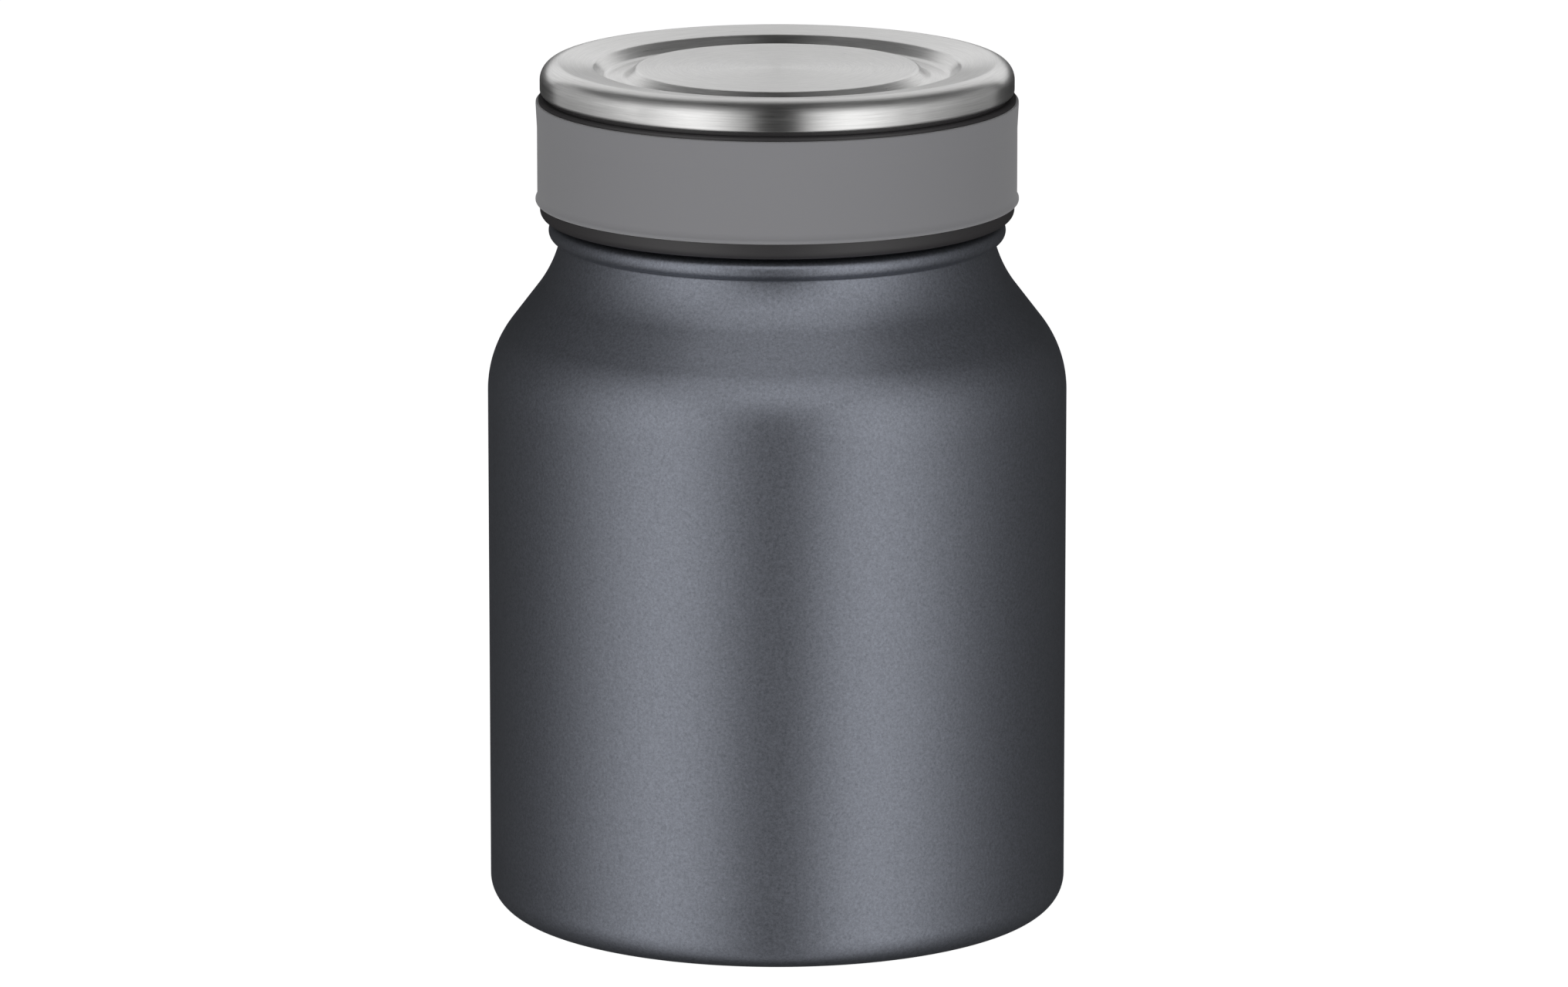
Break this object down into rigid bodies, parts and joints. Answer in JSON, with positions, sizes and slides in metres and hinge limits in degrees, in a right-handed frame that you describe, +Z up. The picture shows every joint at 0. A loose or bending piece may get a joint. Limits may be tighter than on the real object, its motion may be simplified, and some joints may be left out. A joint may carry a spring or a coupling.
{
  "type": "insulated food jar",
  "caption": "Round double-wall food jar with a sloping shoulder and a screw lid that has a grip band and a grooved steel cap.",
  "frame": {"origin": "centre of the standing ring, on the surface that the jar stands on", "axes": "+Z up along the jar's axis; the jar is round, so +X and +Y have no front or side"},
  "size_m": [0.094, 0.094, 0.1399],
  "materials": {
    "body_coat": "satin metallic powder coat",
    "bare_steel": "bare stainless steel",
    "cap_steel": "brushed stainless steel",
    "solder": "dull solder",
    "foil": "bright foil",
    "getter_metal": "sintered metal",
    "band_rubber": "soft matt grey",
    "lid_plastic": "fine satin",
    "plug_plastic": "smooth satin",
    "foam": "foam",
    "gasket_rubber": "translucent silicone"
  },
  "bodies": {
    "jar": {"outer_shell": "body_coat", "base_cup": "body_coat", "base_cover": "bare_steel", "vacuum_seal": "solder", "inner_liner": "bare_steel", "radiation_foil": "foil", "getter": "getter_metal", "getter_holder": "bare_steel"},
    "seal": {"lid_gasket": "gasket_rubber"},
    "lid": {"lid_cover": "cap_steel", "grip_band": "band_rubber", "lid_shell": "lid_plastic", "lid_plug": "plug_plastic", "lid_foam": "foam"}
  },
  "joints": [
    {"name": "lid_lift", "type": "slide", "parent": "jar", "child": "seal", "axis": [0, 0, 1], "range_m": [0, 0.03]},
    {"name": "lid_turn", "type": "hinge", "parent": "seal", "child": "lid", "pos_m": [0, 0, 0.1278], "axis": [0, 0, 1], "range_deg": [0, 900]}
  ],
  "couplings": [
    {"joint": "lid_lift", "follows": "lid_turn", "m_per_rad": 0.0019099}
  ]
}
